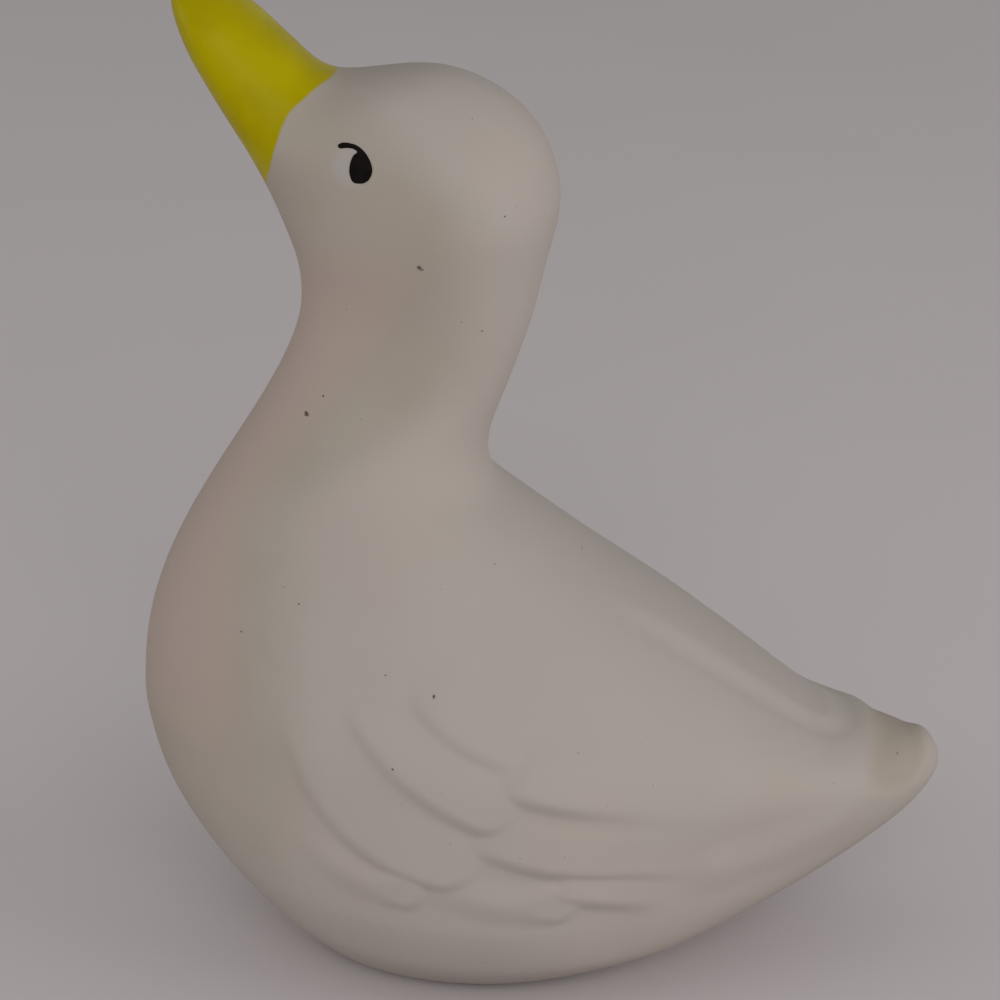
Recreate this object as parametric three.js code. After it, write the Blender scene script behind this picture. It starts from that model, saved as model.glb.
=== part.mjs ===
import * as THREE from "three";

// A duck figurine moulded in one piece, looking up, with its wings folded.
// It faces -X, stands on Z = 0 and is the same on both sides of Y = 0. All sizes are in mm.

// Base and body
const baseX = -7;
const baseLength = 36;
const baseWidth = 30.4;
const bodyLength = 85.6;
const bodyWidth = 52.6;
const breastHeight = 28;
const rumpX = 34;
const rumpHeight = 21.9;
const rumpFillet = 0.8;
const creaseX = -6.2;
const creaseHeight = 52.4;
const creaseRound = 2.6;

// Tail
const tailHeight = 19.4;
const tailThickness = 7.2;
const tailWidth = 9;
const tailRound = 6;
const tailSlope = 0.2;

// Neck and head
const headX = -12.8;
const headHeight = 81.6;
const headLength = 28.6;
const headTall = 27.4;
const headWidth = 27;
const cheekPlace = 0.6;
const neckWidth = 22.4;
const throatForward = 12.1;
const throatDrop = 8.6;
const napeBack = 11.1;
const napeDrop = 13.2;

// Bill
const billForward = 13.5;
const billRise = 9.4;
const billLength = 17;
const billPitch = 52.3;
const billThickness = 10.8;
const billTipThickness = 6.2;
const billWidth = 15.6;
const billTipWidth = 13.4;
const billTipRound = 6.4;
const billEdgePlace = 0.36;
const billFullness = 0.88;

// How fully the outlines swell out, as powers: 1 is straight.
const breastSwell = 1.75;
const undersideSwell = 1.58;
const widthSwell = 4.2;
const tailSwell = 1.6;
const throatSwell = 1.25;
const chinSwell = 1.3;
const flankRound = 2.05;

// Relief
const featherLift = 1.1;
const featherEdge = 1.1;
const stripLift = 0.8;
const stripFrontWidth = 22;
const stripRearWidth = 11.8;
const stripCorner = 3.6;
const stripEdge = 2;
const stripStart = 3;
const stripRise = 20;
const stripInset = 10.6;
const padForward = 5.3;
const padRise = 2.9;
const padRadius = 4;
const padDepth = 0.9;
const padEdge = 1.8;

// Each wing feather is a tongue in the side view, its heights counted from the widest line of the breast:
// root, bend, middle of the round tip and half width. Along it, it has risen at one share of its length
// and may sink again from another. A soft one is round across.
const feathers = [
  { root: [-25.5, -5], bend: [-22, -12.2], tip: [-14.6, -12.1], radius: 2.8, rise: 0.9, soft: true },
  { root: [-23.9, 7.4], bend: [-21.8, -5.9], tip: [-10.6, -8], radius: 4, rise: 0.4 },
  { root: [-18, 9.3], bend: [-15.5, 2.4], tip: [-6.2, -1.9], radius: 3.6, rise: 0.4 },
  { root: [-11.5, 11.2], bend: [-8.5, 5.5], tip: [2.2, 4.2], radius: 4.2, rise: 0.4, sink: 0.5 },
  { root: [-4.4, 2.4], bend: [3.3, -0.3], tip: [15.6, -3.4], radius: 3.7, rise: 0.3, sink: 0.3 },
  { root: [-7.6, -4], bend: [2.6, -8.9], tip: [19.2, -10.9], radius: 3.2, rise: 0.3, sink: 0.5 },
  { root: [-14.4, -9.6], bend: [-6.8, -13.6], tip: [0.9, -13.5], radius: 3, rise: 0.9, soft: true },
  { root: [0.3, -10.4], bend: [6.7, -13.2], tip: [14.2, -14.6], radius: 2.7, rise: 0.3, sink: 0.4 },
  { root: [13, -13.4], bend: [27, -11.9], tip: [37, -9.5], radius: 3.6, rise: 0.3, sink: 0.6, soft: true },
];

const { clamp, lerp, mapLinear, smoothstep, degToRad } = THREE.MathUtils;
const breastX = -bodyLength / 2;
const tailX = bodyLength / 2;
const baseFront = baseX - baseLength / 2;
const baseBack = baseX + baseLength / 2;
const throatX = headX - throatForward;
const throatHeight = headHeight - throatDrop;
const napeX = headX + napeBack;
const napeHeight = headHeight - napeDrop;
const billRootX = headX - billForward;
const billRootHeight = headHeight + billRise;
const middle = 0.5;

// Belly: front, tail underside and half width all swell out from the base up to the breast.
function bellySection(share, rings) {
  const left = 1 - share;
  return {
    front: [lerp(breastX, baseFront, left ** breastSwell), breastHeight * share],
    back: [lerp(tailX, baseBack, left ** undersideSwell), tailHeight * share],
    half: lerp(bodyWidth, baseWidth, left ** widthSwell) / 2,
    widest: middle,
    flank: smoothstep(share, 0.1, 0.7),
    fullness: 1,
    rings,
  };
}

// Behind the middle of the body: its top and bottom in the side view, and its half width.
function roundOff(x, reach) {
  return Math.sqrt(1 - clamp((x - tailX + reach) / reach, 0, 1) ** 2);
}

function topAt(x) {
  const back = mapLinear(x, creaseX, rumpX, creaseHeight, rumpHeight);
  const tail = tailHeight + tailThickness / 2 - tailSlope * (x - tailX);
  const line = (back + tail + Math.hypot(back - tail, rumpFillet)) / 2;
  return lerp(tailHeight, line, roundOff(x, tailThickness / 2));
}

function bottomAt(x) {
  const left = clamp((tailX - x) / (tailX - baseBack), 0, 1);
  return tailHeight * (1 - left ** (1 / undersideSwell));
}

function halfWidthAt(x) {
  const share = clamp((x - baseX) / (tailX - baseX), 0, 1);
  return (lerp(bodyWidth, tailWidth, share ** tailSwell) / 2) * roundOff(x, tailRound);
}

// Half width of the rounded flank at a height.
function flankAt(x, z) {
  const widestHeight = mapLinear(x, breastX, tailX, breastHeight, tailHeight);
  const limit = z > widestHeight ? topAt(x) : bottomAt(x);
  const reach = Math.max(Math.abs(limit - widestHeight), Number.EPSILON);
  const share = clamp(Math.abs(z - widestHeight) / reach, 0, 1);
  return halfWidthAt(x) * (1 - share ** flankRound) ** (1 / flankRound);
}

// Shoulders and neck: the front is an S up to the throat, and the width shrinks to the neck's.
function neckSection(share, back, rings) {
  const rise = smoothstep(share ** throatSwell, 0, 1);
  const slim = smoothstep(share, 0, 0.9);
  return {
    front: [lerp(breastX, throatX, rise), lerp(breastHeight, throatHeight, share)],
    back,
    half: lerp(bodyWidth, neckWidth, slim) / 2,
    widest: middle,
    flank: 0,
    fullness: 1,
    rings,
  };
}

function shoulderSection(share, climb, rings) {
  const x = lerp(tailX, creaseX, climb);
  return { ...neckSection(share, [x, topAt(x)], rings), flank: 1 };
}

// The lower and upper edge of the bill at a distance from its root.
function billEdges(distance, thickness) {
  const angle = degToRad(billPitch);
  const x = billRootX - distance * Math.cos(angle);
  const z = billRootHeight + distance * Math.sin(angle);
  const acrossX = (thickness / 2) * Math.sin(angle);
  const acrossZ = (thickness / 2) * Math.cos(angle);
  return { front: [x - acrossX, z - acrossZ], back: [x + acrossX, z + acrossZ] };
}

// Head: planes that fan out from the chin, which runs from the throat to the bill.
function headSection(chin, degrees, width, rings) {
  const angle = degToRad(degrees);
  const billRoot = billEdges(0, billThickness).front;
  const intoBill = smoothstep(chin, 0.55, 1);
  return {
    front: [lerp(throatX, billRoot[0], chin ** chinSwell), lerp(throatHeight, billRoot[1], chin)],
    back: [headX + (headLength / 2) * Math.cos(angle), headHeight + (headTall / 2) * Math.sin(angle)],
    half: width / 2,
    widest: lerp(lerp(middle, cheekPlace, smoothstep(chin, 0, 0.6)), billEdgePlace, intoBill),
    flank: 0,
    fullness: lerp(1, billFullness, intoBill),
    rings,
  };
}

// Bill: a taper that closes in a round tip, widest near its lower side.
const billStraight = billLength - billTipRound;
function billSection(distance, rings) {
  const share = distance / billLength;
  const taper = lerp(share, smoothstep(share, 0, 1), 0.4);
  const intoTip = Math.max(0, distance - billStraight) / billTipRound;
  const closing = Math.max(0.1, Math.sqrt(1 - intoTip ** 2));
  return {
    ...billEdges(distance, lerp(billThickness, billTipThickness, taper) * closing),
    half: (lerp(billWidth, billTipWidth, taper) * closing) / 2,
    widest: billEdgePlace,
    flank: 0,
    fullness: billFullness,
    rings,
  };
}

// Sections from the base up to the bill tip, each with the rings laid between it and the next.
const neckBack = [lerp(creaseX, napeX, 0.34), lerp(creaseHeight, napeHeight, 0.5)];
const sections = [
  bellySection(0, 1),
  bellySection(0.04, 2),
  bellySection(0.2, 3),
  bellySection(0.44, 5),
  bellySection(0.72, 5),
  shoulderSection(0, 0, 2),
  shoulderSection(0.06, 0.025, 2),
  shoulderSection(0.12, 0.08, 3),
  shoulderSection(0.18, 0.17, 4),
  shoulderSection(0.26, 0.3, 3),
  shoulderSection(0.36, 0.48, 2),
  shoulderSection(0.46, 0.66, 2),
  shoulderSection(0.55, 0.82, 2),
  shoulderSection(0.64, 0.96, 2),
  neckSection(0.74, [creaseX, creaseHeight + creaseRound], 2),
  neckSection(0.84, neckBack, 2),
  neckSection(0.94, [napeX, napeHeight], 2),
  headSection(0.14, -26, lerp(neckWidth, headWidth, 0.55), 2),
  headSection(0.38, 0, lerp(neckWidth, headWidth, 0.95), 2),
  headSection(0.56, 25, lerp(headWidth, billWidth, 0.08), 2),
  headSection(0.7, 50, lerp(headWidth, billWidth, 0.3), 2),
  headSection(0.82, 80, lerp(headWidth, billWidth, 0.6), 2),
  headSection(0.92, 108, lerp(headWidth, billWidth, 0.85), 1),
  billSection(0, 1),
  billSection(billStraight * 0.38, 1),
  billSection(billStraight * 0.75, 1),
  billSection(billStraight, 1),
  billSection(billLength - billTipRound * 0.4, 1),
  billSection(billLength - billTipRound * 0.1, 1),
  billSection(billLength, 1),
];

const curveThrough = (values) =>
  new THREE.CatmullRomCurve3(values.map((v) => new THREE.Vector3(...v)), false, "centripetal");
const frontCurve = curveThrough(sections.map((s) => [s.front[0], 0, s.front[1]]));
const backCurve = curveThrough(sections.map((s) => [s.back[0], 0, s.back[1]]));
const halfCurve = curveThrough(sections.map((s) => [s.half, 0, 0]));
const shapeCurve = curveThrough(sections.map((s) => [s.widest, s.flank, s.fullness]));

// The steps of a ring from the front of the duck to its back, finest along the wing.
const wingStart = 45;
const wingEnd = 132;
const breastSteps = 6;
const wingSteps = 33;
const rearSteps = 9;
const ringAngles = [
  ...Array.from({ length: breastSteps }, (_, i) => (wingStart * i) / breastSteps),
  ...Array.from({ length: wingSteps }, (_, i) => lerp(wingStart, wingEnd, i / wingSteps)),
  ...Array.from({ length: rearSteps + 1 }, (_, i) => lerp(wingEnd, 180, i / rearSteps)),
];

// One side of the ring at a place along the sections.
const flankBlend = 16;
function ringSide(place) {
  const front = frontCurve.getPoint(place);
  const back = backCurve.getPoint(place);
  const half = halfCurve.getPoint(place).x;
  const { x: widest, y: flank, z: fullness } = shapeCurve.getPoint(place);
  back.z = lerp(back.z, back.z > tailHeight ? topAt(back.x) : bottomAt(back.x), flank);
  return ringAngles.map((degrees) => {
    const angle = degToRad(degrees);
    const lean = Math.sign(Math.cos(angle)) * Math.abs(Math.cos(angle)) ** fullness;
    const along = lean > 0 ? widest * (1 - lean) : lerp(widest, 1, -lean);
    const point = front.clone().lerp(back, along);
    const behind = flank * smoothstep(point.x, baseX, baseX + flankBlend);
    return point.setY(lerp(half * Math.sin(angle) ** fullness, flankAt(point.x, point.z), behind));
  });
}

// The nearest point of a tongue's middle line: how far off it is, how far across and how far along.
function nearestOnTongue(line, point) {
  const nearest = { distance: Infinity, across: 0, along: 0 };
  for (let i = 0; i + 1 < line.length; i += 1) {
    const step = line[i + 1].clone().sub(line[i]);
    const offset = point.clone().sub(line[i]);
    const share = clamp(offset.dot(step) / step.lengthSq(), 0, 1);
    const across = step.cross(offset) / step.length();
    const distance = offset.addScaledVector(step, -share).length();
    if (distance < nearest.distance) {
      Object.assign(nearest, { distance, across, along: (i + share) / (line.length - 1) });
    }
  }
  return nearest;
}

// Feathers overlap like shingles: each stands up at its lower edge and sinks under the next above.
const quillSteps = 12;
const wingPoint = ([x, height]) => new THREE.Vector2(x, breastHeight + height);
const quills = feathers.map(({ root, bend, tip }) =>
  new THREE.QuadraticBezierCurve(wingPoint(root), wingPoint(bend), wingPoint(tip)).getPoints(quillSteps),
);

function featherRelief(x, z) {
  const point = new THREE.Vector2(x, z);
  const lifts = feathers.map(({ radius, rise, sink = 1, soft }, i) => {
    const { distance, across, along } = nearestOnTongue(quills[i], point);
    const inside = smoothstep(radius - distance, 0, soft ? radius : featherEdge);
    const shingle = soft ? middle : (1 - across / radius) / 2;
    const shown = smoothstep(along, 0, rise) * (1 - smoothstep(along, sink, 1));
    return featherLift * inside * shingle * shown;
  });
  return Math.max(0, ...lifts);
}

// The raised strip along the back is a box with round corners in the top view, wider in front.
const stripEnd = tailX - stripInset;
function stripRelief(x, y) {
  const width = mapLinear(x, stripStart, stripEnd, stripFrontWidth, stripRearWidth);
  const pastX = Math.max(0, stripStart + stripCorner - x, x - stripEnd + stripCorner);
  const pastY = Math.max(0, Math.abs(y) - width / 2 + stripCorner);
  const inside = smoothstep(stripCorner - Math.hypot(pastX, pastY), 0, stripEdge);
  return stripLift * inside * smoothstep(x, stripStart, stripStart + stripRise);
}

// The round pad is sunk into the top of the tail, towards the tail's middle line.
const padX = tailX - padForward;
const padHeight = tailHeight + padRise;
function sinkPad(point) {
  const inside = smoothstep(padRadius - Math.hypot(point.x - padX, point.z - padHeight), 0, padEdge);
  const outwards = new THREE.Vector3(0, point.y, point.z - tailHeight).normalize();
  return point.addScaledVector(outwards, -padDepth * inside);
}

function carve(point) {
  const flank = smoothstep(Math.abs(point.y), 0, bodyWidth / 4);
  point.y += Math.sign(point.y) * flank * featherRelief(point.x, point.z);
  const onTop = smoothstep(point.z, tailHeight, tailHeight + tailThickness / 2);
  point.z += onTop * stripRelief(point.x, point.y);
  return sinkPad(point);
}

// Rings joined into one closed skin, each patch split along its shorter diagonal.
const rings = sections.flatMap((section, i) =>
  Array.from({ length: section.rings }, (_, k) => {
    const side = ringSide(Math.min(1, (i + k / section.rings) / (sections.length - 1)));
    const mirrored = side.slice(1, -1).reverse().map((p) => new THREE.Vector3(p.x, -p.y, p.z));
    return [...side, ...mirrored].map(carve);
  }),
);
const columns = rings[0].length;
const points = rings.flat();
const faces = [];
for (let r = 0; r + 1 < rings.length; r += 1) {
  for (let c = 0; c < columns; c += 1) {
    const here = r * columns + c;
    const next = r * columns + ((c + 1) % columns);
    const above = here + columns;
    const nextAbove = next + columns;
    const rising = points[here].distanceTo(points[nextAbove]);
    const falling = points[above].distanceTo(points[next]);
    if (rising < falling) {
      faces.push(here, above, nextAbove, here, nextAbove, next);
    } else {
      faces.push(here, above, next, next, above, nextAbove);
    }
  }
}

function closeRing(ring, upwards) {
  const centre = points.length;
  points.push(rings[ring][0].clone().lerp(rings[ring][columns / 2], 0.5));
  for (let c = 0; c < columns; c += 1) {
    const here = ring * columns + c;
    const next = ring * columns + ((c + 1) % columns);
    faces.push(...(upwards ? [next, here, centre] : [here, next, centre]));
  }
}
closeRing(0, false);
closeRing(rings.length - 1, true);

const skin = new THREE.BufferGeometry().setFromPoints(points).setIndex(faces);
skin.computeVertexNormals();
const softRubber = new THREE.MeshStandardMaterial({ color: 0xdcd4cc, roughness: 0.75, metalness: 0 });
const duck = new THREE.Mesh(skin, softRubber);
duck.name = "duck";

const figurine = new THREE.Group();
figurine.add(duck);
export default figurine;
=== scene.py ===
import math

import bpy
import numpy as np
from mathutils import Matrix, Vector


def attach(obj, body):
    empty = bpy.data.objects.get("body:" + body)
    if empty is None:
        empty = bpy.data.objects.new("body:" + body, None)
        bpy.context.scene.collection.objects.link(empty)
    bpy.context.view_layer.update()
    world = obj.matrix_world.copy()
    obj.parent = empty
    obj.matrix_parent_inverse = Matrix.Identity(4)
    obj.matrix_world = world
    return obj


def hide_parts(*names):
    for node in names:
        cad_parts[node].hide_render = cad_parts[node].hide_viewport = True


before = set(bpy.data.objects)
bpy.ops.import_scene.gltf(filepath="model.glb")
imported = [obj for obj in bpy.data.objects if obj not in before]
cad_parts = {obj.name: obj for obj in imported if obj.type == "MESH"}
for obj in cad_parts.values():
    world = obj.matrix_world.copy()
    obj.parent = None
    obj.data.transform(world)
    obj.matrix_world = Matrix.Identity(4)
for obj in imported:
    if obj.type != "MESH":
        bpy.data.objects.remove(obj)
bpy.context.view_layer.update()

# Lengths and places below are in millimetres.
MM = 0.001

# Body and tail, as on the frame's node.
BODY_WIDTH = 52.6
FLANK_REACH = BODY_WIDTH / 4
BREAST_HEIGHT = 28
TAIL_HEIGHT = 19.4
TAIL_THICKNESS = 7.2
TAIL_END = 42.8

# The folded wing's feathers in the side view, with heights from the widest line of the breast:
# root, bend and tip of the quill, half width, how far along it has risen and starts to sink,
# and if it is soft.
FEATHERS = (
    ((-25.5, -5), (-22, -12.2), (-14.6, -12.1), 2.8, 0.9, 1, True),
    ((-23.9, 7.4), (-21.8, -5.9), (-10.6, -8), 4, 0.4, 1, False),
    ((-18, 9.3), (-15.5, 2.4), (-6.2, -1.9), 3.6, 0.4, 1, False),
    ((-11.5, 11.2), (-8.5, 5.5), (2.2, 4.2), 4.2, 0.4, 0.5, False),
    ((-4.4, 2.4), (3.3, -0.3), (15.6, -3.4), 3.7, 0.3, 0.3, False),
    ((-7.6, -4), (2.6, -8.9), (19.2, -10.9), 3.2, 0.3, 0.5, False),
    ((-14.4, -9.6), (-6.8, -13.6), (0.9, -13.5), 3, 0.9, 1, True),
    ((0.3, -10.4), (6.7, -13.2), (14.2, -14.6), 2.7, 0.3, 0.4, False),
    ((13, -13.4), (27, -11.9), (37, -9.5), 3.6, 0.3, 0.6, True),
)
QUILL_STEPS = 12
SOFT_SHINGLE = 0.5

# The raised strip along the back, a box with round corners in the top view.
STRIP_START = 3
STRIP_END = TAIL_END - 10.6
STRIP_FRONT_WIDTH = 22
STRIP_REAR_WIDTH = 11.8
STRIP_CORNER = 3.6
STRIP_FADE_LENGTH = 12

# The round pad sunk into the tail.
PAD_X = TAIL_END - 5.3
PAD_HEIGHT = TAIL_HEIGHT + 2.9
PAD_RADIUS = 4

# How high the moulded relief stands, how wide its edges are and how soon it rises:
# on the frame's node, and as finished.
FRAME_RELIEF = {
    "lift": 1.1, "edge": 1.1, "rise": 1, "crisp_tips": 0, "pad_depth": 0.9, "pad_edge": 1.8,
    "strip_lift": 0.8, "strip_edge": 2, "strip_rise": 20, "strip_fade": 0, "groove": 0,
}
FINISHED_RELIEF = {
    "lift": 0.95, "edge": 2.1, "rise": 0.6, "crisp_tips": 1, "pad_depth": 0.9, "pad_edge": 2.4,
    "strip_lift": 0.8, "strip_edge": 2.2, "strip_rise": 13, "strip_fade": 0.45, "groove": 0.12,
}
EDGE_PLACE = 0.55
TIP_START = 0.75
TIP_EDGE = 1.5
GROOVE_PLACE = 0.6
GROOVE_REACH = 1
IRON_ROUNDS = 12


# Relief: feathers on the flanks, strip on the back, pad in the tail.
def smooth_rise(value, start, end):
    share = np.clip((value - start) / (end - start), 0, 1)
    return share * share * (3 - 2 * share)


def quill(root, bend, tip):
    share = np.linspace(0, 1, QUILL_STEPS + 1)[:, None]
    near_root = (1 - share) ** 2 * np.array(root)
    near_bend = 2 * (1 - share) * share * np.array(bend)
    return near_root + near_bend + share**2 * np.array(tip)


def nearest_on_line(line, points):
    """How far each point is from the line, how far to its left side, and how far along it."""
    distance = np.full(len(points), np.inf)
    across = np.zeros(len(points))
    along = np.zeros(len(points))
    for i in range(len(line) - 1):
        step = line[i + 1] - line[i]
        offset = points - line[i]
        length = np.hypot(*step)
        share = np.clip(offset @ step / length**2, 0, 1)
        gap = np.linalg.norm(offset - share[:, None] * step, axis=1)
        closer = gap < distance
        distance[closer] = gap[closer]
        across[closer] = ((step[0] * offset[:, 1] - step[1] * offset[:, 0]) / length)[closer]
        along[closer] = ((i + share) / (len(line) - 1))[closer]
    return distance, across, along


def feather_relief(x, z, relief):
    """Each feather stands up at its lower edge and sinks under the next one above."""
    points = np.stack([x, z - BREAST_HEIGHT], axis=1)
    height = np.zeros(len(points))
    for root, bend, tip, radius, rise, sink, soft in FEATHERS:
        distance, across, along = nearest_on_line(quill(root, bend, tip), points)
        start = EDGE_PLACE - relief["edge"] / 2
        end = EDGE_PLACE + relief["edge"] / 2
        shingle = (1 - across / radius) / 2
        if soft:
            start = 0
            end = radius + (TIP_EDGE - radius) * relief["crisp_tips"] * smooth_rise(along, TIP_START, 1)
            shingle = SOFT_SHINGLE
        inside = smooth_rise(radius - distance, start, end)
        shown = smooth_rise(along, 0, rise * relief["rise"])
        if sink < 1:
            shown = shown * (1 - smooth_rise(along, sink, 1))
        height = np.maximum(height, relief["lift"] * inside * shingle * shown)
    return height


def strip_relief(x, y, relief):
    """The strip stands up along the back, with a slight groove around it, and fades at its end."""
    along = (x - STRIP_START) / (STRIP_END - STRIP_START)
    width = STRIP_FRONT_WIDTH + (STRIP_REAR_WIDTH - STRIP_FRONT_WIDTH) * along
    past_x = np.maximum(0, np.maximum(STRIP_START + STRIP_CORNER - x, x - STRIP_END + STRIP_CORNER))
    past_y = np.maximum(0, np.abs(y) - width / 2 + STRIP_CORNER)
    depth = STRIP_CORNER - np.hypot(past_x, past_y)
    strip = relief["strip_lift"] * smooth_rise(depth, 0, relief["strip_edge"])
    groove = relief["groove"] * (1 - smooth_rise(np.abs(depth + GROOVE_PLACE), 0, GROOVE_REACH))
    rise = smooth_rise(x, STRIP_START, STRIP_START + relief["strip_rise"])
    fade = 1 - relief["strip_fade"] * smooth_rise(x, STRIP_END - STRIP_FADE_LENGTH, STRIP_END)
    return (strip - groove) * rise * fade


def feather_push(x, y, z, relief):
    flank = smooth_rise(np.abs(y), 0, FLANK_REACH)
    return np.sign(y) * flank * feather_relief(x, z, relief)


def strip_push(x, y, z, relief):
    on_top = smooth_rise(z, TAIL_HEIGHT, TAIL_HEIGHT + TAIL_THICKNESS / 2)
    return on_top * strip_relief(x, y, relief)


def pad_push(x, z, relief):
    depth = PAD_RADIUS - np.hypot(x - PAD_X, z - PAD_HEIGHT)
    return relief["pad_depth"] * smooth_rise(depth, 0, relief["pad_edge"])


def points_of(piece):
    points = np.empty(3 * len(piece.data.vertices))
    piece.data.vertices.foreach_get("co", points)
    return points.reshape(-1, 3) / MM


def set_points(piece, points):
    piece.data.vertices.foreach_set("co", (points * MM).ravel())
    piece.data.update()


def iron(piece, relief):
    """Takes the relief off again, by closing in on the skin that it was carved from."""
    x, y, z = points_of(piece).T.copy()
    reach = np.hypot(y, z - TAIL_HEIGHT)
    out_y = y / reach
    out_z = (z - TAIL_HEIGHT) / reach
    whole = reach
    for _ in range(IRON_ROUNDS):
        whole = reach + pad_push(x, TAIL_HEIGHT + out_z * whole, relief)
    y = out_y * whole
    z = TAIL_HEIGHT + out_z * whole
    flat = z
    for _ in range(IRON_ROUNDS):
        flat = z - strip_push(x, y, flat, relief)
    bare = y
    for _ in range(IRON_ROUNDS):
        bare = y - feather_push(x, bare, flat, relief)
    set_points(piece, np.stack([x, bare, flat], axis=1))


def carve(piece, relief):
    x, y, z = points_of(piece).T
    y = y + feather_push(x, y, z, relief)
    z = z + strip_push(x, y, z, relief)
    left = 1 - pad_push(x, z, relief) / np.hypot(y, z - TAIL_HEIGHT)
    set_points(piece, np.stack([x, y * left, TAIL_HEIGHT + (z - TAIL_HEIGHT) * left], axis=1))


# Handling of meshes.
def select_only(piece):
    bpy.ops.object.select_all(action="DESELECT")
    piece.select_set(True)
    bpy.context.view_layer.objects.active = piece


def open_mesh(piece):
    select_only(piece)
    bpy.ops.object.mode_set(mode="EDIT")
    bpy.ops.mesh.select_all(action="SELECT")


def close_mesh():
    bpy.ops.object.mode_set(mode="OBJECT")


def apply_modifier(piece, kind, **settings):
    select_only(piece)
    modifier = piece.modifiers.new(kind.title(), kind)
    for name, value in settings.items():
        setattr(modifier, name, value)
    bpy.ops.object.modifier_apply(modifier=modifier.name)


# Skin: the frame's node, ironed, rounded off and carved again with the finished relief.
SKIN_WELD = 0.001
FLAT_ENOUGH = math.radians(60)
ANY_CORNER = math.radians(179)
ROUNDING = 2


def make_skin():
    skin = bpy.data.objects.new("duck_skin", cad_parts["duck"].data.copy())
    bpy.context.scene.collection.objects.link(skin)
    open_mesh(skin)
    bpy.ops.mesh.remove_doubles(threshold=SKIN_WELD * MM)
    close_mesh()
    iron(skin, FRAME_RELIEF)
    open_mesh(skin)
    bpy.ops.mesh.tris_convert_to_quads(face_threshold=FLAT_ENOUGH, shape_threshold=ANY_CORNER)
    close_mesh()
    apply_modifier(skin, "SUBSURF", levels=ROUNDING, render_levels=ROUNDING)
    carve(skin, FINISHED_RELIEF)
    bpy.ops.object.shade_smooth()
    return skin


# Eyes: a pupil with its lash in one stroke of paint, laid on the skin on both sides.
EYE_OUTLINE = (
    (-20.58, 89.36), (-20.3, 89.63), (-19.85, 89.71), (-19.3, 89.66), (-18.7, 89.5), (-18.1, 89.1),
    (-17.6, 88.5), (-17.28, 87.8), (-17.2, 87.25), (-17.4, 86.6), (-17.83, 86.13), (-18.5, 85.95),
    (-19.1, 86.07), (-19.4, 86.7), (-19.45, 87.35), (-19.25, 88.2), (-18.95, 88.7), (-18.68, 88.9),
    (-18.95, 89.13), (-19.4, 89.23), (-19.9, 89.22), (-20.3, 89.17),
)
EYE_CURVE_STEPS = 4
EYE_WELD = 0.005
EYE_CUTS = 3
EYE_CREASE = math.radians(40)
PAINT_THICKNESS = 0.1
PAINT_STANDS_OFF = 0.05


def draw_eye():
    """One eye's outline, filled, as a flat mesh that is fine enough to lie on the skin."""
    bpy.ops.object.select_all(action="DESELECT")
    bpy.ops.curve.primitive_bezier_curve_add()
    stroke = bpy.context.object
    stroke.name = "eyes"
    drawing = stroke.data
    drawing.dimensions = "2D"
    drawing.fill_mode = "BOTH"
    drawing.resolution_u = EYE_CURVE_STEPS
    drawing.splines.clear()
    outline = drawing.splines.new("BEZIER")
    outline.bezier_points.add(len(EYE_OUTLINE) - 1)
    for point, (x, z) in zip(outline.bezier_points, EYE_OUTLINE):
        point.co = (x * MM, z * MM, 0)
        point.handle_left_type = "AUTO"
        point.handle_right_type = "AUTO"
    outline.use_cyclic_u = True
    bpy.ops.object.convert(target="MESH")
    eye = bpy.context.object
    open_mesh(eye)
    bpy.ops.mesh.remove_doubles(threshold=EYE_WELD * MM)
    bpy.ops.mesh.beautify_fill()
    bpy.ops.mesh.subdivide(number_cuts=EYE_CUTS)
    close_mesh()
    return eye


def make_eyes(skin):
    eyes = draw_eye()
    flat = points_of(eyes)
    beside_body = np.full(len(flat), -BODY_WIDTH)
    set_points(eyes, np.stack([flat[:, 0], beside_body, flat[:, 1]], axis=1))
    apply_modifier(
        eyes, "SHRINKWRAP", target=skin, wrap_method="PROJECT", use_project_y=True,
        use_positive_direction=True, wrap_mode="ABOVE_SURFACE", offset=PAINT_STANDS_OFF * MM,
    )
    open_mesh(eyes)
    bpy.ops.mesh.normals_make_consistent(inside=False)
    close_mesh()
    if eyes.data.polygons[0].normal.y > 0:
        eyes.data.flip_normals()
    apply_modifier(eyes, "SOLIDIFY", thickness=PAINT_THICKNESS * MM, offset=-1)
    apply_modifier(eyes, "MIRROR", use_axis=(False, True, False), use_mirror_merge=False)
    bpy.ops.object.shade_smooth_by_angle(angle=EYE_CREASE)
    return eyes


# Finishes: what their nodes are made with.
def linear(value):
    """One channel of a screen colour, 0 to 255, as linear light."""
    value /= 255
    return value / 12.92 if value <= 0.04045 else ((value + 0.055) / 1.055) ** 2.4


def colour(red, green, blue):
    return (linear(red), linear(green), linear(blue), 1)


def feed(tree, socket, value):
    if isinstance(value, bpy.types.NodeSocket):
        tree.links.new(value, socket)
    else:
        socket.default_value = value


def add_node(tree, kind, inputs=(), **settings):
    """Adds a node, with its settings, and links or sets its inputs."""
    made = tree.nodes.new(kind)
    for name, value in settings.items():
        setattr(made, name, value)
    for socket, value in dict(inputs).items():
        feed(tree, made.inputs[socket], value)
    return made


def new_finish(name):
    """A material, with its shader and the place on the piece that its patterns follow."""
    finish = bpy.data.materials.new(name)
    finish.use_nodes = True
    tree = finish.node_tree
    place = add_node(tree, "ShaderNodeTexCoord").outputs["Object"]
    return finish, tree, tree.nodes["Principled BSDF"], place


CLOUD_DETAIL = 3


def noise(tree, place, scale, detail=2, roughness=0.5):
    inputs = {"Vector": place, "Scale": scale, "Detail": detail, "Roughness": roughness}
    return add_node(tree, "ShaderNodeTexNoise", inputs).outputs["Fac"]


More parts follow.
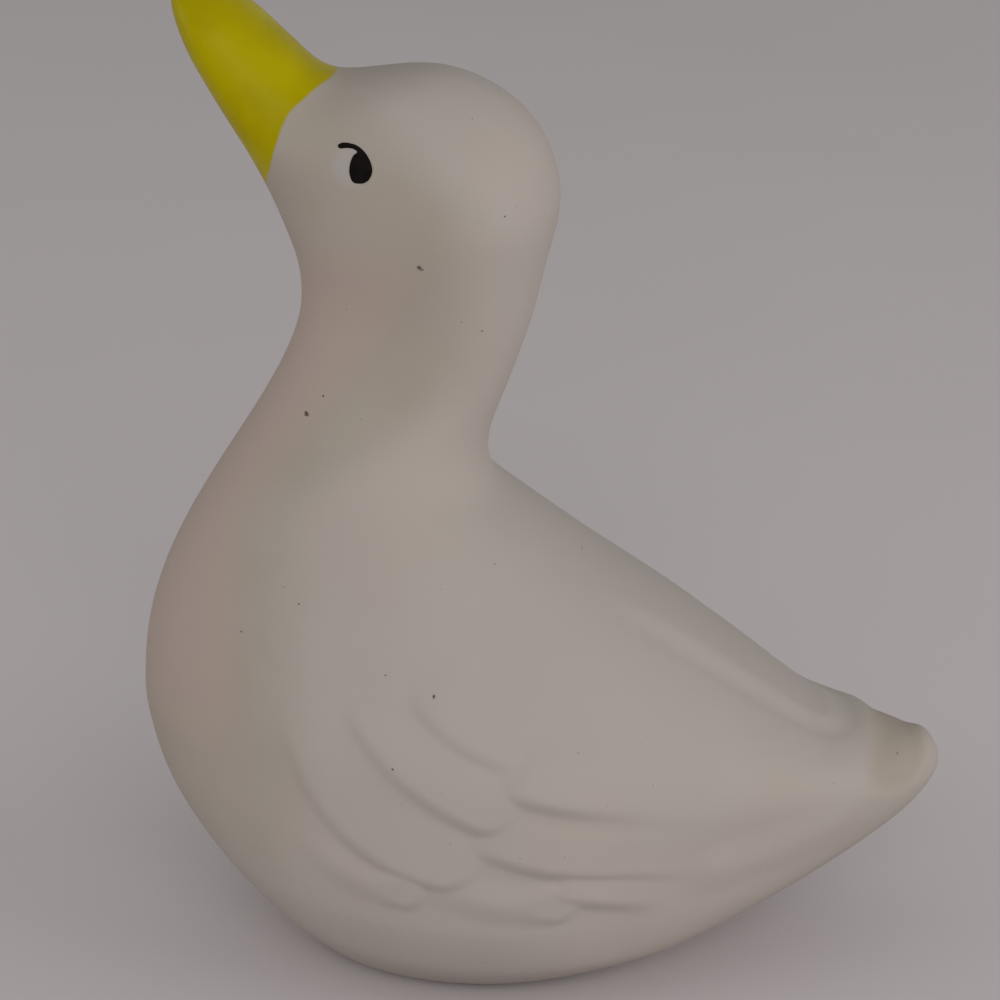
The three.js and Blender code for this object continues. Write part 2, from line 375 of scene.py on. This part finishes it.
def ramp(tree, value, start, end, low=0, high=1):
    inputs = {"Value": value, "From Min": start, "From Max": end, "To Min": low, "To Max": high}
    return add_node(tree, "ShaderNodeMapRange", inputs, interpolation_type="SMOOTHSTEP").outputs["Result"]


def length_ramp(tree, value, start, end, low=0, high=1):
    return ramp(tree, value, start * MM, end * MM, low, high)


NOISE_RANGE = (0.3, 0.7)


def vary(tree, pattern, low, high):
    """A value that varies between two bounds with a noise."""
    return ramp(tree, pattern, *NOISE_RANGE, low, high)


def sum_up(tree, operation, first, second):
    return add_node(tree, "ShaderNodeMath", {0: first, 1: second}, operation=operation).outputs["Value"]


def distance_from(tree, place, centre):
    inputs = {0: place, 1: Vector(centre) * MM}
    return add_node(tree, "ShaderNodeVectorMath", inputs, operation="DISTANCE").outputs["Value"]


def how_far(tree, place, start, way):
    """How far the place is from a start, measured one way."""
    inputs = {0: place, 1: Vector(start) * MM}
    offset = add_node(tree, "ShaderNodeVectorMath", inputs, operation="SUBTRACT").outputs["Vector"]
    inputs = {0: offset, 1: way}
    return add_node(tree, "ShaderNodeVectorMath", inputs, operation="DOT_PRODUCT").outputs["Value"]


def how_far_past(tree, place, start, way, border):
    return sum_up(tree, "SUBTRACT", how_far(tree, place, start, way), border * MM)


def split_place(tree, place):
    return add_node(tree, "ShaderNodeSeparateXYZ", {0: place}).outputs


def join_place(tree, **parts):
    return add_node(tree, "ShaderNodeCombineXYZ", parts).outputs["Vector"]


def side_view(tree, place):
    parts = split_place(tree, place)
    return join_place(tree, X=parts["X"], Z=parts["Z"])


def both_sides(tree, place):
    """The place with one side folded onto the other, for marks that both sides have."""
    parts = split_place(tree, place)
    return join_place(tree, X=parts["X"], Y=sum_up(tree, "ABSOLUTE", parts["Y"], 0), Z=parts["Z"])


def blend_colours(tree, share, first, second):
    mix = add_node(tree, "ShaderNodeMix", data_type="RGBA")
    sockets = {"Factor": share, "A": first, "B": second}
    for socket in mix.inputs:
        if socket.enabled and socket.name in sockets:
            feed(tree, socket, sockets[socket.name])
    return next(socket for socket in mix.outputs if socket.enabled)


# Lemon paint on the bill: its edge is a curve on the cheek that runs out into a line down the throat.
LEMON_PAINT = colour(165, 152, 0)
DEEP_LEMON_PAINT = colour(157, 143, 0)
LEMON_CLOUDS = 150
LEMON_CLOUD_RANGE = (0.35, 0.65)
CURVE_CENTRE = (-18.26, 0, 85.29)
CURVE_RADIUS = 9.83
CHEEK_WAY = (-0.7, 0, 0.7)
CHEEK_BORDER = 7.5
THROAT_WAY = (-0.967, 0, 0.254)
THROAT_BORDER = 9.25
LOWEST_PAINT = 78
UPWARDS = (0, 0, 1)
CORNER_ROUNDING = 1.5
PAINT_EDGE = 0.15
PAINT_WOBBLE = 0.05
WOBBLE_SCALE = 220


def bill_mask(tree, place):
    reach = distance_from(tree, side_view(tree, place), CURVE_CENTRE)
    past_curve = sum_up(tree, "SUBTRACT", reach, CURVE_RADIUS * MM)
    on_cheek = how_far_past(tree, place, CURVE_CENTRE, CHEEK_WAY, CHEEK_BORDER)
    past_line = how_far_past(tree, place, CURVE_CENTRE, THROAT_WAY, THROAT_BORDER)
    on_throat = how_far(tree, place, (0, 0, LOWEST_PAINT), UPWARDS)
    inputs = {
        0: sum_up(tree, "MINIMUM", past_curve, on_cheek),
        1: sum_up(tree, "MINIMUM", past_line, on_throat),
        2: CORNER_ROUNDING * MM,
    }
    past_edge = add_node(tree, "ShaderNodeMath", inputs, operation="SMOOTH_MAX").outputs["Value"]
    wobble = vary(tree, noise(tree, place, WOBBLE_SCALE), -PAINT_WOBBLE * MM, PAINT_WOBBLE * MM)
    return length_ramp(tree, sum_up(tree, "ADD", past_edge, wobble), -PAINT_EDGE, PAINT_EDGE)


def lemon_tint(tree, place):
    clouds = ramp(tree, noise(tree, place, LEMON_CLOUDS, CLOUD_DETAIL), *LEMON_CLOUD_RANGE)
    return blend_colours(tree, clouds, LEMON_PAINT, DEEP_LEMON_PAINT)


# Tints of the rubber: warm patches at random, and two tints that are painted shade. The olive painted
# shade lies over the face and beside the throat, the warm painted shade in front of it: where along the
# duck they begin and are full, the heights between which the neck or the face moves them and how far, and
# the heights between which they come in or end.
WHITE_RUBBER = colour(170, 162, 155)
# Warm rubber for the random patches, and also the colour of the warm painted shade on the front of the
# breast and throat.
WARM_RUBBER_AND_SHADE = colour(166, 151, 142)
# Olive painted shade, darker than the white rubber.
OLIVE_SHADE = colour(158, 149, 138)
PATCH_SCALE = 38
PATCH_RANGE = (0.35, 0.7)
PATCH_STRENGTH = 0.25
OLIVE_PLACE = (-21, -31)
OLIVE_UP_NECK = (50, 68)
OLIVE_NECK_SHIFT = 18
OLIVE_OVER_FACE = (80, 98)
OLIVE_FACE_SHIFT = 13
OLIVE_COMES_IN = (6, 30)
OLIVE_AT_BASE = 0.2
OLIVE_CLOUDS = 110
OLIVE_THINNEST = 0.75
WARM_PLACE = (-29, -35)
WARM_UP_NECK = (46, 78)
WARM_NECK_SHIFT = 18
WARM_COMES_IN = (20, 36)
WARM_ENDS = (83, 73)


# Olive painted shade over the face and beside the throat, broken up by clouds.
def olive_shade_mask(tree, place):
    parts = split_place(tree, place)
    up_neck = length_ramp(tree, parts["Z"], *OLIVE_UP_NECK, 0, OLIVE_NECK_SHIFT * MM)
    over_face = length_ramp(tree, parts["Z"], *OLIVE_OVER_FACE, 0, OLIVE_FACE_SHIFT * MM)
    behind = sum_up(tree, "SUBTRACT", parts["X"], sum_up(tree, "SUBTRACT", up_neck, over_face))
    comes_in = length_ramp(tree, parts["Z"], *OLIVE_COMES_IN, OLIVE_AT_BASE)
    olive = sum_up(tree, "MULTIPLY", length_ramp(tree, behind, *OLIVE_PLACE), comes_in)
    clouds = vary(tree, noise(tree, place, OLIVE_CLOUDS, CLOUD_DETAIL), OLIVE_THINNEST, 1)
    return sum_up(tree, "MULTIPLY", olive, clouds)


# Warm painted shade, darker and pinker, on the front of the breast and up the throat.
def warm_shade_mask(tree, place):
    parts = split_place(tree, place)
    up_neck = length_ramp(tree, parts["Z"], *WARM_UP_NECK, 0, WARM_NECK_SHIFT * MM)
    behind = sum_up(tree, "SUBTRACT", parts["X"], up_neck)
    comes_in = length_ramp(tree, parts["Z"], *WARM_COMES_IN)
    warm = sum_up(tree, "MULTIPLY", length_ramp(tree, behind, *WARM_PLACE), comes_in)
    return sum_up(tree, "MULTIPLY", warm, length_ramp(tree, parts["Z"], *WARM_ENDS))


# White rubber with warm patches at random, then the olive and the warm painted shade over it.
def rubber_tint_and_shade(tree, place):
    patches = ramp(tree, noise(tree, place, PATCH_SCALE, CLOUD_DETAIL), *PATCH_RANGE, 0, PATCH_STRENGTH)
    tint = blend_colours(tree, patches, WHITE_RUBBER, WARM_RUBBER_AND_SHADE)
    tint = blend_colours(tree, olive_shade_mask(tree, place), tint, OLIVE_SHADE)
    return blend_colours(tree, warm_shade_mask(tree, place), tint, WARM_RUBBER_AND_SHADE)


# Marks on the rubber: the pad's tint, which is yellowed rubber and painted shade in its dish, the white
# around the eyes, specks on the left side and pinpricks. A speck has its place in the side view and its
# radius.
PAD_OLIVE_AND_SHADE = colour(160, 150, 139)
PAD_TINT_BEGINS = PAD_RADIUS + 0.7
PAD_TINT_FULL = PAD_RADIUS - 2
EYE_WHITE = colour(166, 161, 159)
EYE_CENTRE = (-19.2, 10.9, 87.5)
EYE_WHITE_EDGE = (2.5, 1.5)
EYE_WHITE_STRENGTH = 0.5
SPECK_BROWN = colour(70, 60, 52)
SPECKS = (
    (-12.6, 77.8, 0.26),
    (-24.3, 61.6, 0.19),
    (-22.6, 63.6, 0.12),
    (-4.3, 82.6, 0.08),
    (-6.6, 70.4, 0.09),
    (-8.6, 71.7, 0.07),
    (-31, 40.5, 0.09),
    (-25, 44.1, 0.07),
    (-16.2, 38.1, 0.08),
    (-11.4, 36.4, 0.14),
    (-15.5, 29.5, 0.11),
    (37.5, 22.2, 0.06),
)
NO_SPECK_NEAR = 10
SPECK_EDGE = (1.3, 0.7)
SPECK_UNEVEN = 0.5
SPECK_UNEVEN_SCALE = 2600
SPECK_STRENGTH = 0.85
TO_THE_RIGHT = (0, 1, 0)
PINPRICK_SCALE = 365
PINPRICK_EDGE = (0.032, 0.016)
PINPRICK_STRENGTH = 0.7
FLATTENED = (1, 0.2, 1)


# Yellowed rubber and painted shade in the pad's dish, full towards its middle.
def pad_tint_and_shade_mask(tree, place):
    reach = distance_from(tree, side_view(tree, place), (PAD_X, 0, PAD_HEIGHT))
    return length_ramp(tree, reach, PAD_TINT_BEGINS, PAD_TINT_FULL)


def eye_white_mask(tree, place):
    reach = distance_from(tree, both_sides(tree, place), EYE_CENTRE)
    return length_ramp(tree, reach, *EYE_WHITE_EDGE, 0, EYE_WHITE_STRENGTH)


def speck_mask(tree, place):
    flat = side_view(tree, place)
    nearest = NO_SPECK_NEAR
    for x, z, radius in SPECKS:
        share = sum_up(tree, "DIVIDE", distance_from(tree, flat, (x, 0, z)), radius * MM)
        nearest = sum_up(tree, "MINIMUM", nearest, share)
    uneven = vary(tree, noise(tree, place, SPECK_UNEVEN_SCALE), -SPECK_UNEVEN, SPECK_UNEVEN)
    specks = ramp(tree, sum_up(tree, "ADD", nearest, uneven), *SPECK_EDGE)
    on_left = sum_up(tree, "LESS_THAN", how_far(tree, place, (0, 0, 0), TO_THE_RIGHT), 0)
    return sum_up(tree, "MULTIPLY", specks, on_left)


def pinprick_mask(tree, place):
    flattened = add_node(tree, "ShaderNodeVectorMath", {0: place, 1: FLATTENED}, operation="MULTIPLY")
    inputs = {"Vector": flattened.outputs["Vector"], "Scale": PINPRICK_SCALE}
    cells = add_node(tree, "ShaderNodeTexVoronoi", inputs)
    return ramp(tree, cells.outputs["Distance"], *PINPRICK_EDGE, 0, PINPRICK_STRENGTH)


def with_marks(tree, place, tint):
    # The pad's tint: yellowed rubber and painted shade in its dish.
    tint = blend_colours(tree, pad_tint_and_shade_mask(tree, place), tint, PAD_OLIVE_AND_SHADE)
    tint = blend_colours(tree, eye_white_mask(tree, place), tint, EYE_WHITE)
    marks = sum_up(tree, "MAXIMUM", speck_mask(tree, place), pinprick_mask(tree, place))
    return blend_colours(tree, sum_up(tree, "MULTIPLY", marks, SPECK_STRENGTH), tint, SPECK_BROWN)


# Skin's finish: matt rubber with a fine grain, and smoother paint on the bill.
GRAIN_SCALE = 1400
GRAIN_ROUGHNESS = 0.6
RUBBER_ROUGHNESS = (0.6, 0.72)
LEMON_ROUGHNESS = (0.28, 0.42)
RUBBER_BUMP = 0.12
LEMON_BUMP = 0.3
BUMP_HEIGHT = 0.05
SKIN_SHINE = 0.045


def make_skin_finish():
    finish, tree, shader, place = new_finish("soft_white_rubber_with_painted_bill")
    bill = bill_mask(tree, place)
    tint = with_marks(tree, place, rubber_tint_and_shade(tree, place))
    tint = blend_colours(tree, bill, tint, lemon_tint(tree, place))
    tree.links.new(tint, shader.inputs["Base Color"])
    grain = noise(tree, place, GRAIN_SCALE, CLOUD_DETAIL, GRAIN_ROUGHNESS)
    matt = vary(tree, grain, *RUBBER_ROUGHNESS)
    smoother = vary(tree, grain, *LEMON_ROUGHNESS)
    roughness = add_node(tree, "ShaderNodeMix", {0: bill, 2: matt, 3: smoother}, data_type="FLOAT")
    tree.links.new(roughness.outputs[0], shader.inputs["Roughness"])
    strength = ramp(tree, bill, 0, 1, RUBBER_BUMP, LEMON_BUMP)
    inputs = {"Strength": strength, "Distance": BUMP_HEIGHT * MM, "Height": grain}
    bump = add_node(tree, "ShaderNodeBump", inputs)
    tree.links.new(bump.outputs["Normal"], shader.inputs["Normal"])
    shader.inputs["Specular IOR Level"].default_value = SKIN_SHINE
    return finish


# Eyes' finish: black paint, browner where it is thin.
BLACK_PAINT = colour(13, 9, 8)
BROWN_BLACK_PAINT = colour(22, 15, 13)
EYE_PAINT_SCALE = 900
THIN_PAINT_RANGE = (0.4, 0.7)
EYE_ROUGHNESS = (0.5, 0.65)
EYE_SHINE = 0.05


def make_eye_finish():
    finish, tree, shader, place = new_finish("black_eye_paint")
    uneven = noise(tree, place, EYE_PAINT_SCALE)
    thin = ramp(tree, uneven, *THIN_PAINT_RANGE)
    tree.links.new(blend_colours(tree, thin, BLACK_PAINT, BROWN_BLACK_PAINT), shader.inputs["Base Color"])
    tree.links.new(vary(tree, uneven, *EYE_ROUGHNESS), shader.inputs["Roughness"])
    shader.inputs["Specular IOR Level"].default_value = EYE_SHINE
    return finish


# Floor's finish: pale, with wide and hardly visible clouds.
PALE_FLOOR = colour(207, 199, 200)
FLOOR_SHADE = colour(202, 194, 195)
FLOOR_CLOUDS = 12
FLOOR_ROUGHNESS = 0.9


def make_floor_finish():
    finish, tree, shader, place = new_finish("pale_floor")
    clouds = noise(tree, place, FLOOR_CLOUDS)
    tree.links.new(blend_colours(tree, clouds, PALE_FLOOR, FLOOR_SHADE), shader.inputs["Base Color"])
    shader.inputs["Roughness"].default_value = FLOOR_ROUGHNESS
    return finish


# The finished duck.
def paint_piece(piece, finish):
    piece.data.materials.clear()
    piece.data.materials.append(finish)


skin = make_skin()
paint_piece(skin, make_skin_finish())
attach(skin, "root")
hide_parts("duck")

eyes = make_eyes(skin)
paint_piece(eyes, make_eye_finish())
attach(eyes, "root")

# Floor, light and camera. A lamp has its place, its size and its power in watts.
FLOOR_SIZE = 6000
LAMPS = {
    "soft_lamp_right": ((930, -250, 200), 800, 4.25),
    "soft_lamp_left": ((-950, -150, 150), 500, 2.4),
    "soft_lamp_front": ((100, -900, 400), 700, 3.5),
}
LAMP_TARGET = (0, 0, 40)
ROOM_WHITE = (1, 1, 1, 1)
ROOM_LIGHT = 0.38
VIEW_TARGET = (-4.8, 0, 49)
VIEW_DISTANCE = 320
VIEW_ANGLE = math.radians(20)
SENSOR_WIDTH = 36
LENS_LENGTH = 109.71
NEAREST_SEEN = 10


def add_floor():
    bpy.ops.object.select_all(action="DESELECT")
    bpy.ops.mesh.primitive_plane_add(size=FLOOR_SIZE * MM)
    floor = bpy.context.object
    floor.name = "floor"
    paint_piece(floor, make_floor_finish())


def place_and_aim(thing, place, target):
    bpy.context.scene.collection.objects.link(thing)
    thing.location = Vector(place) * MM
    thing.rotation_euler = (Vector(target) * MM - thing.location).to_track_quat("-Z", "Y").to_euler()


def add_lamps():
    for name, (place, size, power) in LAMPS.items():
        lamp = bpy.data.lights.new(name, "AREA")
        lamp.size = size * MM
        lamp.energy = power
        place_and_aim(bpy.data.objects.new(name, lamp), place, LAMP_TARGET)


def add_room_light():
    world = bpy.data.worlds.new("room")
    bpy.context.scene.world = world
    world.use_nodes = True
    background = world.node_tree.nodes["Background"]
    background.inputs["Color"].default_value = ROOM_WHITE
    background.inputs["Strength"].default_value = ROOM_LIGHT


def add_camera():
    camera = bpy.data.objects.new("camera", bpy.data.cameras.new("camera"))
    away = Vector((0, -math.cos(VIEW_ANGLE), math.sin(VIEW_ANGLE)))
    place_and_aim(camera, Vector(VIEW_TARGET) + VIEW_DISTANCE * away, VIEW_TARGET)
    camera.data.sensor_width = SENSOR_WIDTH
    camera.data.lens = LENS_LENGTH
    camera.data.clip_start = NEAREST_SEEN * MM
    bpy.context.scene.camera = camera


add_floor()
add_lamps()
add_room_light()
add_camera()
bpy.context.scene.view_settings.view_transform = "Standard"
